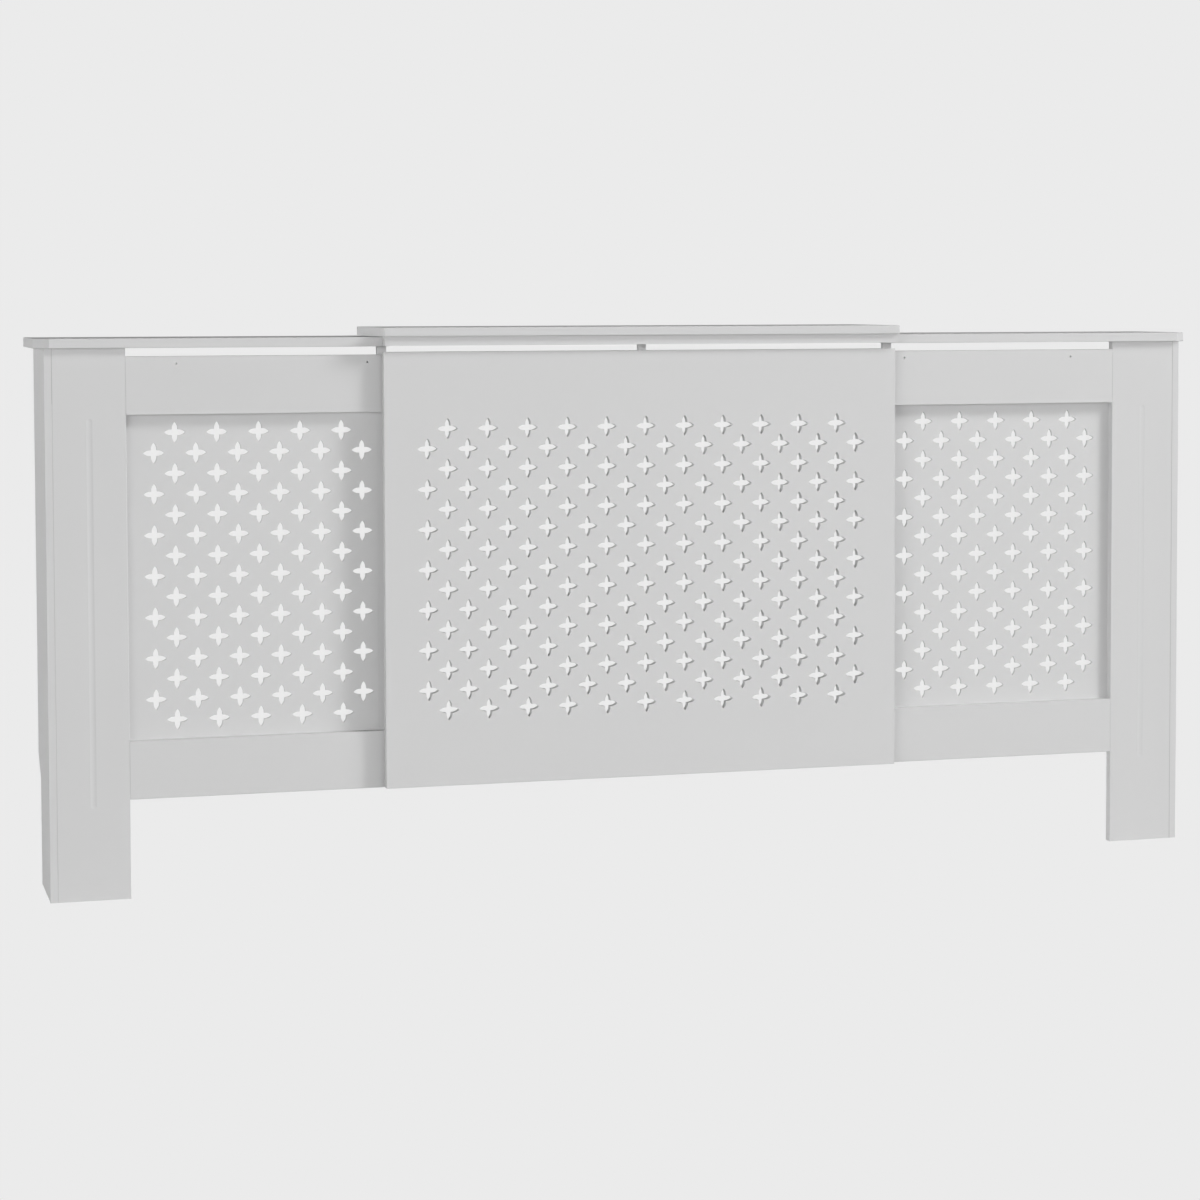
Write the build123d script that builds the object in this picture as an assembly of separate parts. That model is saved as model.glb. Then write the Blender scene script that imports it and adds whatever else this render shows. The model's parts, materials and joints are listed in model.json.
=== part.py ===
from build123d import *
from math import floor, sqrt
import os

# Extending radiator cover: two side units that slide in behind and under a centre section.
#
# X runs along the wall, Y from the room to the wall, Z up. The origin is on the floor, midway along
# the cover and midway between its frontmost edge and the wall. All lengths are in millimetres.

# --- Extension -----------------------------------------------------------------------------------
side_length = 501.5  # outer face to inner end of one side unit
centre_length = 806.0  # centre panel, end to end
overlap = 9.5  # of the centre panel over each side unit when fully drawn out

# --- Heights -------------------------------------------------------------------------------------
case_height = 803.0  # floor to the underside of the side shelves
vent_height = 12.2  # slot between the top rails and the side shelves
rail_height = 85.0
toe_height = 145.5  # floor to the underside of the bottom rails and centre panel
centre_vent_height = 9.0  # slot between the centre panel and the apron over it

# --- Depths --------------------------------------------------------------------------------------
case_depth = 190.0  # front of the legs to the wall
shelf_front_overhang = 8.3  # side shelf over the leg
shelf_end_overhang = 14.5  # side shelf past the side panel
shelf_corner_cut = 21.5  # 45 degree cut on the outer front corner of a side shelf
panel_clearance = 3.5  # centre panel in front of the rails
apron_clearance = 2.0  # apron in front of the side shelves
centre_front_overhang = 6.5  # centre shelf over the apron
centre_end_overhang = 1.5  # centre shelf past the centre panel
shelf_clearance = 0.9  # centre shelf above the side shelves

# --- Boards --------------------------------------------------------------------------------------
side_panel_thickness = 11.0
leg_width = 105.0
frame_thickness = 13.5  # legs and rails
side_shelf_thickness = 14.0
centre_shelf_thickness = 13.0
centre_panel_thickness = 12.0
apron_thickness = 15.0
grille_thickness = 3.0
grille_lap = 18.0  # of the grille sheet behind each rail
grille_leg_lap = 10.0  # of the grille sheet behind the leg
arris = 0.5  # eased edges of the painted boards

# --- Skirting notch in the side panels -------------------------------------------------------------
notch_depth = 41.0
notch_height = 158.0  # to where the notch starts to slope back to the wall
notch_slope = 34.0  # height of that slope

# --- Groove in the legs --------------------------------------------------------------------------
groove_width = 9.0
groove_depth = 0.6
groove_bottom = 134.5  # floor to the lower end of the groove
groove_drop = 101.5  # underside of the side shelf to the upper end of the groove

# --- Pierced star pattern ------------------------------------------------------------------------
star_reach = 14.8  # centre to tip of a petal
star_waist = 7.0  # centre to the notch between two petals
star_pitch_x = 61.4  # between stars of one row
star_pitch_z = 60.15  # between every other row
star_margin = 10.0  # least distance from a petal to a rail or leg
centre_star_margin = 55.0  # least distance from an end of the centre panel to the middle of a star
inner_star_margin = 37.5  # inner end of a side unit to the middle of its last star
pattern_rise = 1.4  # middle of the pattern above the middle of the space between the rails

# --- Posts and battens ---------------------------------------------------------------------------
inner_post_width = 14.0
inner_post_depth = 8.0
corner_batten_size = 18.0
corner_batten_margin = 10.0  # batten short of the floor and of the side shelf
centre_post_width = 12.0
centre_post_depth = 9.0
centre_post_drop = 80.0  # of the post behind the centre panel
packer_height = 60.0
packer_depth = 8.0  # sets the post back from the centre panel
packer_margin = 10.0  # packer below the top edge of the centre panel

# --- Glides --------------------------------------------------------------------------------------
glide_clearance = 0.3  # felt strips to the rails
glide_height = 20.0
glide_end_margin = 6.0  # strips short of the ends of the centre panel
glide_middle_gap = 60.0  # between the left and right strips

# --- Fixings -------------------------------------------------------------------------------------
dowel_diameter = 6.0
dowel_clearance = 0.15  # around a dowel, and at each end
rail_dowel_length = 36.0
rail_dowel_spacing = 50.0
apron_dowel_length = 16.0
apron_dowel_spacing = 250.0
apron_dowel_count = 4
hole_sides = 8  # flats that stand for the round of a dowel, a pilot hole or a screw hole
sheet_steel = 2.0  # thickness of plates and brackets
screw_hole_diameter = 4.5
pilot_diameter = 3.0
pilot_drop = 11.0  # pilot holes below the top edge of the top rail
pilot_outer = 189.0  # outer face of a side unit to the first pilot hole
pilot_inner = 31.0  # inner end of a side unit to the second pilot hole
plate_length = 60.0
plate_width = 22.0
plate_hole_inset = 8.0
angle_leg = 25.0
angle_width = 16.0
leg_angle_offset = 60.0  # outer face to the bracket behind the leg
panel_angle_offset = 110.0  # front of the legs to the bracket on the side panel
wall_bracket_leg = 40.0
wall_bracket_return = 30.0
wall_bracket_width = 20.0
wall_bracket_drop = 93.0  # underside of the side shelf to the middle of the wall bracket
wall_hole_spacing = 18.0

# --- Planes worked out from the sizes above --------------------------------------------------------
centre_projection = shelf_front_overhang + apron_clearance + apron_thickness + centre_front_overhang
front_y = (centre_projection - case_depth) / 2  # front face of the legs and rails
wall_y = front_y + case_depth
frame_back_y = front_y + frame_thickness
grille_back_y = frame_back_y + grille_thickness
panel_back_y = front_y - panel_clearance
panel_front_y = panel_back_y - centre_panel_thickness
shelf_front_y = front_y - shelf_front_overhang
apron_back_y = shelf_front_y - apron_clearance
apron_front_y = apron_back_y - apron_thickness
centre_front_y = apron_front_y - centre_front_overhang

centre_end_x = centre_length / 2
inner_x = -(centre_end_x - overlap)  # inner end of the left side unit
outer_x = inner_x - side_length  # outer face of the left side unit
leg_outer_x = outer_x + side_panel_thickness
leg_inner_x = leg_outer_x + leg_width
inner_post_x = inner_x - inner_post_width

rail_top_z = case_height - vent_height
rail_bottom_z = rail_top_z - rail_height
toe_rail_top_z = toe_height + rail_height
side_shelf_top_z = case_height + side_shelf_thickness
centre_shelf_z = side_shelf_top_z + shelf_clearance
apron_bottom_z = case_height + shelf_clearance
panel_top_z = apron_bottom_z - centre_vent_height
wall_bracket_z = case_height - wall_bracket_drop

# --- Star counts, as many as fit ---------------------------------------------------------------------
open_height = rail_bottom_z - toe_rail_top_z
pattern_z = (toe_rail_top_z + rail_bottom_z) / 2 + pattern_rise
row_pitch = star_pitch_z / 2
star_rows = 1 + floor((open_height - 2 * (star_reach + star_margin)) / row_pitch)
centre_stars = 1 + floor((centre_length - 2 * centre_star_margin) / star_pitch_x)
last_star_x = inner_x - inner_star_margin
side_stars = 1 + floor((last_star_x - leg_inner_x - star_reach - star_margin) / star_pitch_x)
side_pattern_x = last_star_x - (side_stars - 1) / 2 * star_pitch_x


def block(x, y, z):
    """Makes a box between pairs of coordinates."""
    size = [high - low for low, high in (x, y, z)]
    middle = [(low + high) / 2 for low, high in (x, y, z)]
    return Pos(*middle) * Box(*size)


def eased(board):
    """Takes the sharp edges off a painted board."""
    return chamfer(board.edges(), arris)


def eased_front(board):
    """Eases the edges round the front face of a board, and leaves the edges that butt other boards."""
    front = board.faces().sort_by(Axis.Y)[0]
    return chamfer(front.edges(), arris)


def drill(start, direction, diameter, depth):
    """Makes the round cutter of a hole that starts at a point and runs in a direction."""
    return Plane(origin=start, z_dir=direction) * Cylinder(
        diameter / 2, depth, align=(Align.CENTER, Align.CENTER, Align.MIN)
    )


def flat_sided(start, direction, diameter, depth):
    """Makes a dowel or the cutter of a small hole, with flats in place of its round."""
    section = Plane(origin=start, z_dir=direction) * RegularPolygon(diameter / 2, hole_sides)
    return extrude(section, depth)


# --- Pierced boards --------------------------------------------------------------------------------
def star_wire(x, y, z):
    """Draws one four-petalled star, upright in a plane of constant Y."""
    waist = star_waist / sqrt(2)
    corners = []
    for right, up in ((1, 0), (0, 1), (-1, 0), (0, -1)):
        corners.append((x + star_reach * right, y, z + star_reach * up))
        corners.append((x + waist * (right - up), y, z + waist * (up + right)))
    return Wire.make_polygon(corners, close=True)


def star_centres(middle_x, stars_in_long_row):
    """Lists the star centres: short and long rows in turn, set half a pitch across."""
    centres = []
    for row in range(star_rows):
        stars = stars_in_long_row - 1 if row % 2 == 0 else stars_in_long_row
        z = pattern_z + (row - (star_rows - 1) / 2) * row_pitch
        for star in range(stars):
            centres.append((middle_x + (star - (stars - 1) / 2) * star_pitch_x, z))
    return centres


def pierced_board(x, y, z, centres):
    """Makes a board with a star-shaped hole at each centre."""
    front, back = y
    corners = [(x[0], front, z[0]), (x[1], front, z[0]), (x[1], front, z[1]), (x[0], front, z[1])]
    outline = Wire.make_polygon(corners, close=True)
    stars = [star_wire(star_x, front, star_z) for star_x, star_z in centres]
    return Solid.extrude(Face(outline, stars), Vector(0, back - front, 0))


# --- Side unit, as its left-hand version ---------------------------------------------------------------
def side_panel():
    """The outer end board, notched at the back to clear a skirting board."""
    slope_top_z = notch_height + notch_slope
    profile = Polyline(
        (outer_x, front_y, 0),
        (outer_x, wall_y - notch_depth, 0),
        (outer_x, wall_y - notch_depth, notch_height),
        (outer_x, wall_y, slope_top_z),
        (outer_x, wall_y, case_height),
        (outer_x, front_y, case_height),
        close=True,
    )
    board = Solid.extrude(Face(Wire(profile.edges())), Vector(side_panel_thickness, 0, 0))
    upright_fronts = board.edges().filter_by(Axis.Z).group_by(Axis.Y)[0]
    return chamfer(upright_fronts, arris)


def groove_cutter():
    """The round-nosed bar that leaves the shallow groove in a leg."""
    half_width = groove_width / 2
    radius = (half_width**2 + groove_depth**2) / (2 * groove_depth)
    middle_x = (leg_outer_x + leg_inner_x) / 2
    axis_y = front_y + groove_depth - radius
    low_z = groove_bottom + half_width
    high_z = case_height - groove_drop - half_width
    bar = drill((middle_x, axis_y, low_z), (0, 0, 1), 2 * radius, high_z - low_z)
    low_end = Pos(middle_x, axis_y, low_z) * Sphere(radius)
    high_end = Pos(middle_x, axis_y, high_z) * Sphere(radius)
    return bar + low_end + high_end


def leg_board():
    """The front leg, grooved down its middle."""
    board = block((leg_outer_x, leg_inner_x), (front_y, frame_back_y), (0, case_height))
    board = chamfer(board.edges().filter_by(Axis.Z).group_by(Axis.Y)[0], arris)
    board -= groove_cutter()
    for hole in rail_dowels(dowel_clearance):
        board -= hole
    return board


def rail(bottom_z):
    """One rail, from the leg to the inner end of the side unit."""
    board = block(
        (leg_inner_x, inner_x), (front_y, frame_back_y), (bottom_z, bottom_z + rail_height)
    )
    board = eased_front(board)
    for hole in rail_dowels(dowel_clearance):
        board -= hole
    return board


def top_rail():
    """The upper rail, with the two pilot holes for the screws that lock the chosen width."""
    board = rail(rail_bottom_z)
    for x in (outer_x + pilot_outer, inner_x - pilot_inner):
        start = (x, front_y, rail_top_z - pilot_drop)
        board -= flat_sided(start, (0, 1, 0), pilot_diameter, frame_thickness)
    return board


def bottom_rail():
    """The lower rail, clear of the floor for the air that comes in."""
    return rail(toe_height)


def rail_dowels(clearance=0.0):
    """The dowels between the leg and the ends of both rails, or with a clearance the holes for them."""
    length = rail_dowel_length + 2 * clearance
    middle_y = (front_y + frame_back_y) / 2
    dowels = []
    for bottom_z in (toe_height, rail_bottom_z):
        middle_z = bottom_z + rail_height / 2
        for z in (middle_z - rail_dowel_spacing / 2, middle_z + rail_dowel_spacing / 2):
            start = (leg_inner_x - length / 2, middle_y, z)
            dowels.append(flat_sided(start, (1, 0, 0), dowel_diameter + 2 * clearance, length))
    return dowels


def side_grille():
    """The thin pierced sheet pinned behind the leg and the rails."""
    return pierced_board(
        (leg_inner_x - grille_leg_lap, inner_post_x),
        (frame_back_y, grille_back_y),
        (toe_rail_top_z - grille_lap, rail_bottom_z + grille_lap),
        star_centres(side_pattern_x, side_stars),
    )


def side_shelf():
    """The side shelf, with its outer front corner cut off at 45 degrees."""
    end_x = outer_x - shelf_end_overhang
    outline = Polyline(
        (end_x, wall_y, case_height),
        (end_x, shelf_front_y + shelf_corner_cut, case_height),
        (end_x + shelf_corner_cut, shelf_front_y, case_height),
        (inner_x, shelf_front_y, case_height),
        (inner_x, wall_y, case_height),
        close=True,
    )
    return eased(Solid.extrude(Face(Wire(outline.edges())), Vector(0, 0, side_shelf_thickness)))


def inner_post():
    """The post behind the inner ends of the rails, which also carries the side shelf."""
    return block(
        (inner_post_x, inner_x),
        (frame_back_y, frame_back_y + inner_post_depth),
        (toe_height, case_height),
    )


def corner_batten():
    """The square batten glued into the corner of the side panel and the leg."""
    return block(
        (leg_outer_x, leg_outer_x + corner_batten_size),
        (frame_back_y, frame_back_y + corner_batten_size),
        (corner_batten_margin, case_height - corner_batten_margin),
    )


def rail_plates():
    """The flat steel plates that tie the backs of the rails to the back of the leg."""
    plates = []
    for middle_z in (
        toe_height + (rail_height - grille_lap) / 2,
        rail_top_z - (rail_height - grille_lap) / 2,
    ):
        plate = block(
            (leg_inner_x - plate_length / 2, leg_inner_x + plate_length / 2),
            (frame_back_y, frame_back_y + sheet_steel),
            (middle_z - plate_width / 2, middle_z + plate_width / 2),
        )
        for side in (-1, 1):
            for inset in (plate_hole_inset, plate_length / 2 - plate_hole_inset):
                start = (leg_inner_x + side * (plate_length / 2 - inset), frame_back_y, middle_z)
                plate -= flat_sided(start, (0, 1, 0), screw_hole_diameter, sheet_steel)
        plates.append(plate)
    return plates


def angle_bracket(corner, along, down_leg, out_leg, width, out_holes, hole_spacing):
    """Makes a folded steel angle.

    The fold is at the corner. One leg runs down, the other runs out in the direction given by
    along, a unit step in X or Y. The out leg has its holes in a line across the angle.
    """
    step_x, step_y = along
    across = Vector(-step_y, step_x, 0)
    out = Vector(step_x, step_y, 0)
    down = Vector(0, 0, -1)
    start = Vector(*corner) - across * (width / 2)
    outline = Wire.make_polygon(
        [
            start,
            start + out * out_leg,
            start + out * out_leg + down * sheet_steel,
            start + out * sheet_steel + down * sheet_steel,
            start + out * sheet_steel + down * down_leg,
            start + down * down_leg,
        ],
        close=True,
    )
    angle = Solid.extrude(Face(outline), across * width)
    middle = Vector(*corner)
    low_hole = middle + down * ((down_leg + sheet_steel) / 2)
    angle -= flat_sided(low_hole, out, screw_hole_diameter, sheet_steel)
    for n in range(out_holes):
        shift = (n - (out_holes - 1) / 2) * hole_spacing
        top_hole = middle + out * ((out_leg + sheet_steel) / 2) + across * shift
        angle -= flat_sided(top_hole, down, screw_hole_diameter, sheet_steel)
    return angle


def shelf_angles():
    """The angles that hold the side shelf down: one behind the leg, one on the side panel."""
    leg_corner = (outer_x + leg_angle_offset, frame_back_y, case_height)
    panel_corner = (leg_outer_x, front_y + panel_angle_offset, case_height)
    return [
        angle_bracket(leg_corner, (0, 1), angle_leg, angle_leg, angle_width, 1, 0),
        angle_bracket(panel_corner, (1, 0), angle_leg, angle_leg, angle_width, 1, 0),
    ]


def wall_bracket():
    """The angle that ties the side panel to the wall, with two wall screws."""
    low = wall_bracket_z - wall_bracket_width / 2
    high = wall_bracket_z + wall_bracket_width / 2
    wall_leg = block(
        (leg_outer_x, leg_outer_x + wall_bracket_leg), (wall_y - sheet_steel, wall_y), (low, high)
    )
    panel_leg = block(
        (leg_outer_x, leg_outer_x + sheet_steel), (wall_y - wall_bracket_return, wall_y), (low, high)
    )
    bracket = wall_leg + panel_leg
    wall_hole_x = leg_outer_x + wall_bracket_leg / 2
    for x in (wall_hole_x - wall_hole_spacing / 2, wall_hole_x + wall_hole_spacing / 2):
        start = (x, wall_y - sheet_steel, wall_bracket_z)
        bracket -= drill(start, (0, 1, 0), screw_hole_diameter, sheet_steel)
    panel_hole_y = wall_y - (wall_bracket_return + sheet_steel) / 2
    start = (leg_outer_x, panel_hole_y, wall_bracket_z)
    return bracket - flat_sided(start, (1, 0, 0), screw_hole_diameter, sheet_steel)


# --- Centre section ------------------------------------------------------------------------------------
def centre_shelf():
    """The centre shelf, which rests on the side shelves."""
    end_x = centre_end_x + centre_end_overhang
    board = block(
        (-end_x, end_x),
        (centre_front_y, wall_y),
        (centre_shelf_z, centre_shelf_z + centre_shelf_thickness),
    )
    board = eased(board)
    for hole in apron_dowels(dowel_clearance):
        board -= hole
    return board


def apron():
    """The strip under the front edge of the centre shelf, which hides the ends of the side shelves."""
    board = block(
        (-centre_end_x, centre_end_x),
        (apron_front_y, apron_back_y),
        (apron_bottom_z, centre_shelf_z),
    )
    for hole in apron_dowels(dowel_clearance):
        board -= hole
    return board


def apron_dowels(clearance=0.0):
    """The upright dowels between the apron and the centre shelf, or with a clearance their holes."""
    length = apron_dowel_length + 2 * clearance
    middle_y = (apron_front_y + apron_back_y) / 2
    dowels = []
    for n in range(apron_dowel_count):
        x = (n - (apron_dowel_count - 1) / 2) * apron_dowel_spacing
        start = (x, middle_y, centre_shelf_z - length / 2)
        dowels.append(flat_sided(start, (0, 0, 1), dowel_diameter + 2 * clearance, length))
    return dowels


def centre_panel():
    """The pierced panel of the centre section, in front of the rails of the side units."""
    return pierced_board(
        (-centre_end_x, centre_end_x),
        (panel_front_y, panel_back_y),
        (toe_height, panel_top_z),
        star_centres(0, centre_stars),
    )


def centre_post():
    """The short post that hangs the centre panel from the centre shelf."""
    front = panel_back_y + packer_depth
    return block(
        (-centre_post_width / 2, centre_post_width / 2),
        (front, front + centre_post_depth),
        (panel_top_z - centre_post_drop, centre_shelf_z),
    )


def post_packer():
    """The packer that sets the centre post back from the centre panel."""
    high = panel_top_z - packer_margin
    return block(
        (-centre_post_width / 2, centre_post_width / 2),
        (panel_back_y, panel_back_y + packer_depth),
        (high - packer_height, high),
    )


def panel_glides():
    """The felt strips on the back of the centre panel, which the rails slide along."""
    strips = []
    near = glide_middle_gap / 2
    far = centre_end_x - glide_end_margin
    for bottom_z in (toe_height, rail_bottom_z):
        middle_z = bottom_z + rail_height / 2
        for x in ((-far, -near), (near, far)):
            strips.append(
                block(
                    x,
                    (panel_back_y, front_y - glide_clearance),
                    (middle_z - glide_height / 2, middle_z + glide_height / 2),
                )
            )
    return strips


# --- Assembly ------------------------------------------------------------------------------------------
def as_list(shape):
    """Lists the separate solids of a piece or of a group of pieces."""
    shapes = shape if isinstance(shape, list) else [shape]
    return [solid for item in shapes for solid in item.solids()]


def write(name, shape):
    """Writes one named piece, or one group of separate pieces."""
    solids = as_list(shape)
    piece = solids[0] if len(solids) == 1 else Compound(children=solids)
    export_step(piece, os.path.join("parts", name + ".step"))


SIDE_PIECES = {
    "side_panel": side_panel,
    "leg": leg_board,
    "top_rail": top_rail,
    "bottom_rail": bottom_rail,
    "grille": side_grille,
    "shelf": side_shelf,
    "inner_post": inner_post,
    "corner_batten": corner_batten,
    "rail_dowels": rail_dowels,
    "rail_plates": rail_plates,
    "shelf_angles": shelf_angles,
    "wall_bracket": wall_bracket,
}

CENTRE_PIECES = {
    "centre_shelf": centre_shelf,
    "apron": apron,
    "centre_panel": centre_panel,
    "centre_post": centre_post,
    "post_packer": post_packer,
    "panel_glides": panel_glides,
    "apron_dowels": apron_dowels,
}


def main():
    """Builds every piece and writes it to the parts folder."""
    os.makedirs("parts", exist_ok=True)
    for name, make in CENTRE_PIECES.items():
        write(name, make())
    for name, make in SIDE_PIECES.items():
        left = as_list(make())
        write("left_" + name, left)
        write("right_" + name, [mirror(solid, about=Plane.YZ) for solid in left])


main()
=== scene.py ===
"""Looks of the extending radiator cover: painted boards, pierced star panels, fixings and studio.

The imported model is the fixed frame. Its boards keep their shapes and get their finishes here. The
three pierced panels are made again with curved petals and eased rims, and the screws and pins that
the solids leave out are added. All lengths are in metres.
"""

from __future__ import annotations

import json
import logging
import math
from collections.abc import Callable, Iterable, Sequence
from dataclasses import dataclass, field
from enum import Enum
from typing import Any

import bmesh
import bpy
from mathutils import Matrix, Vector

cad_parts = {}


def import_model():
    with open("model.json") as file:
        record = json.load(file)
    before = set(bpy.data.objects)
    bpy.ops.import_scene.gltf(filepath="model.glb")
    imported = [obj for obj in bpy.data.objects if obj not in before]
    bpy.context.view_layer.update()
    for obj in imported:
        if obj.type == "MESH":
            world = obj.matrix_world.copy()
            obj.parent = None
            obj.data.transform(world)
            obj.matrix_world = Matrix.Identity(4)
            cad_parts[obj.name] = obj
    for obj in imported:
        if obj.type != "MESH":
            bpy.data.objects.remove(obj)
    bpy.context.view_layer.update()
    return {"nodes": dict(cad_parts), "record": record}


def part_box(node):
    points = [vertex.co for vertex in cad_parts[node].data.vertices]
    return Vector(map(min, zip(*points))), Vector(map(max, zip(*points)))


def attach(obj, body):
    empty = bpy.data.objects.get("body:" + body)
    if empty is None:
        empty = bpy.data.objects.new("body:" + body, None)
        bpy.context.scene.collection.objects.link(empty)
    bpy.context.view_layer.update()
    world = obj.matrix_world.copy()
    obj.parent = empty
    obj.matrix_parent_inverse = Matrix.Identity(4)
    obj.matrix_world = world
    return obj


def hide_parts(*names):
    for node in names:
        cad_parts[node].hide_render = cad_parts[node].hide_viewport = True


log = logging.getLogger("radiator_cover")

MM = 0.001
SMOOTH_UP_TO = math.radians(35.0)  # facets that meet at less than this are shaded as one surface
# painted shade: over this top part the outer joint of the left leg is painted darker still
JOINT_SHADE_TOP = 80.0 * MM  # top part of the left leg's outer joint, which shows darker in the photo
WELD = 0.001 * MM  # points closer than this are made one
FLUSH = 0.01 * MM  # places closer than this count as level
CREASE = math.radians(80.0)  # edges sharper than this are eased
TIE = 1e-6  # slack in the comparison of a star's two axes


class Slot(Enum):
    """The material slots of the record."""

    PAINT = "satin_paint"
    STEEL = "zinc_steel"
    FELT = "felt"
    BEECH = "beech"


class Body(Enum):
    """The parts of the cover that move as one."""

    CENTRE = "centre"
    LEFT = "left_unit"
    RIGHT = "right_unit"


class Side(Enum):
    """The two side units, with the way each one's outer face points along X."""

    LEFT = -1
    RIGHT = 1

    @property
    def word(self) -> str:
        """The word that starts the names of this unit's nodes."""
        return self.name.lower()

    @property
    def body(self) -> Body:
        """The body that this unit's pieces ride on."""
        return Body.LEFT if self is Side.LEFT else Body.RIGHT


# --- Shader maths ---------------------------------------------------------------------------------


class Signal:
    """A shader socket whose sums and products add Math nodes to its board."""

    def __init__(self, board: Board, socket: bpy.types.NodeSocket) -> None:
        """Wraps a socket.

        Args:
            board: The node board that the socket is on.
            socket: The output socket that carries the value.
        """
        self.board = board
        self.socket = socket

    def _math(self, operation: str, *values: Signal | float) -> Signal:
        """Adds one Math node.

        Args:
            operation: The node's operation, such as "ADD".
            values: The node's inputs, in order.

        Returns:
            The node's output.
        """
        return self.board.node("ShaderNodeMath", {"operation": operation}, dict(enumerate(values)))

    def __add__(self, other: Signal | float) -> Signal:
        """Adds a value."""
        return self._math("ADD", self, other)

    def __radd__(self, other: float) -> Signal:
        """Adds this to a number."""
        return self._math("ADD", other, self)

    def __sub__(self, other: Signal | float) -> Signal:
        """Takes a value away."""
        return self._math("SUBTRACT", self, other)

    def __rsub__(self, other: float) -> Signal:
        """Takes this away from a number."""
        return self._math("SUBTRACT", other, self)

    def __mul__(self, other: Signal | float) -> Signal:
        """Multiplies by a value."""
        return self._math("MULTIPLY", self, other)

    def __rmul__(self, other: float) -> Signal:
        """Multiplies a number by this."""
        return self._math("MULTIPLY", other, self)

    def __truediv__(self, other: Signal | float) -> Signal:
        """Divides by a value."""
        return self._math("DIVIDE", self, other)

    def __pow__(self, other: Signal | float) -> Signal:
        """Raises to a power."""
        return self._math("POWER", self, other)

    def __abs__(self) -> Signal:
        """Drops the sign."""
        return self._math("ABSOLUTE", self)

    def at_least(self, low: float) -> Signal:
        """Holds the value at or above a number."""
        return self._math("MAXIMUM", self, low)

    def at_most(self, high: float) -> Signal:
        """Holds the value at or below a number."""
        return self._math("MINIMUM", self, high)

    def between(self, low: float, high: float) -> Signal:
        """Gives 1 where the value lies between two numbers, and 0 elsewhere."""
        return self._math("GREATER_THAN", self, low) * self._math("LESS_THAN", self, high)


class Board:
    """The node tree of one material or world."""

    def __init__(self, tree: bpy.types.NodeTree) -> None:
        """Clears a node tree.

        Args:
            tree: The tree to build in.
        """
        self.tree = tree
        tree.nodes.clear()

    def node(
        self,
        kind: str,
        settings: dict[str, Any],
        inputs: dict[int | str, Any],
        output: int | str = 0,
    ) -> Signal:
        """Adds a node.

        Args:
            kind: The node's type.
            settings: Its properties, and under "stops" the (place, colour) pairs of a ramp.
            inputs: The value or the link of each input, by name or number.
            output: The output that is wanted.

        Returns:
            That output.
        """
        made = self.tree.nodes.new(kind)
        for name, value in settings.items():
            if name == "stops":
                self._set_stops(made, value)
            else:
                setattr(made, name, value)
        for name, value in inputs.items():
            if isinstance(value, Signal):
                self.tree.links.new(value.socket, made.inputs[name])
            else:
                made.inputs[name].default_value = value
        return Signal(self, made.outputs[output] if len(made.outputs) else None)

    @staticmethod
    def _set_stops(ramp: bpy.types.ShaderNode, stops: Sequence[tuple[float, tuple]]) -> None:
        """Puts the stops on a colour ramp.

        Args:
            ramp: The ramp node, which has two stops to begin with.
            stops: The (place, colour) pairs, in order.
        """
        elements = ramp.color_ramp.elements
        while len(elements) < len(stops):
            elements.new(1.0)
        for element, (place, colour) in zip(elements, stops):
            element.position = place
            element.color = colour

    def coordinates(self, stretch: Sequence[float] = (1.0, 1.0, 1.0)) -> Signal:
        """Gives the piece's own coordinates, scaled along each axis."""
        place = self.node("ShaderNodeTexCoord", {}, {}, "Object")
        return self.node("ShaderNodeMapping", {}, {"Vector": place, "Scale": tuple(stretch)})

    def along(self, place: Signal, axis: str) -> Signal:
        """Gives one coordinate of a place."""
        return self.node("ShaderNodeSeparateXYZ", {}, {"Vector": place}, axis)

    def noise(self, place: Signal, scale: float, detail: float = 2.0) -> Signal:
        """Gives a cloudy pattern from 0 to 1.

        Args:
            place: The coordinates to read.
            scale: Cells in a metre.
            detail: Octaves of finer cells.

        Returns:
            The pattern's value.
        """
        inputs = {"Vector": place, "Scale": scale, "Detail": detail}
        return self.node("ShaderNodeTexNoise", {}, inputs)

    def mix(self, share: Signal | float, first: Any, second: Any) -> Signal:
        """Mixes two colours.

        Args:
            share: How much of the second colour there is, from 0 to 1.
            first: A colour or its link.
            second: A colour or its link.

        Returns:
            The mixed colour.
        """
        # The Mix node has a socket of each data type: 0 is the number factor, 6 and 7 the colours.
        return self.node("ShaderNodeMix", {"data_type": "RGBA"}, {0: share, 6: first, 7: second}, 2)

    def bump(self, height: Signal, depth: float, under: Signal | None = None) -> Signal:
        """Turns a height pattern into a normal.

        Args:
            height: The pattern, from 0 to 1.
            depth: The height of 1, in metres.
            under: The normal of a coarser pattern below this one.

        Returns:
            The normal.
        """
        inputs: dict[int | str, Any] = {"Height": height, "Distance": depth, "Strength": 1.0}
        if under is not None:
            inputs["Normal"] = under
        return self.node("ShaderNodeBump", {}, inputs)

    def surface(self, shader: Signal) -> None:
        """Ends the tree with a surface shader."""
        self.node("ShaderNodeOutputMaterial", {}, {"Surface": shader})

    def principled(self, inputs: dict[int | str, Any]) -> None:
        """Ends the tree with a Principled shader that has these inputs."""
        self.surface(self.node("ShaderNodeBsdfPrincipled", {}, inputs))


def grey(value: float) -> tuple[float, float, float, float]:
    """Makes a grey of one linear value."""
    return (value, value, value, 1.0)


# --- Finishes -------------------------------------------------------------------------------------


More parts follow.
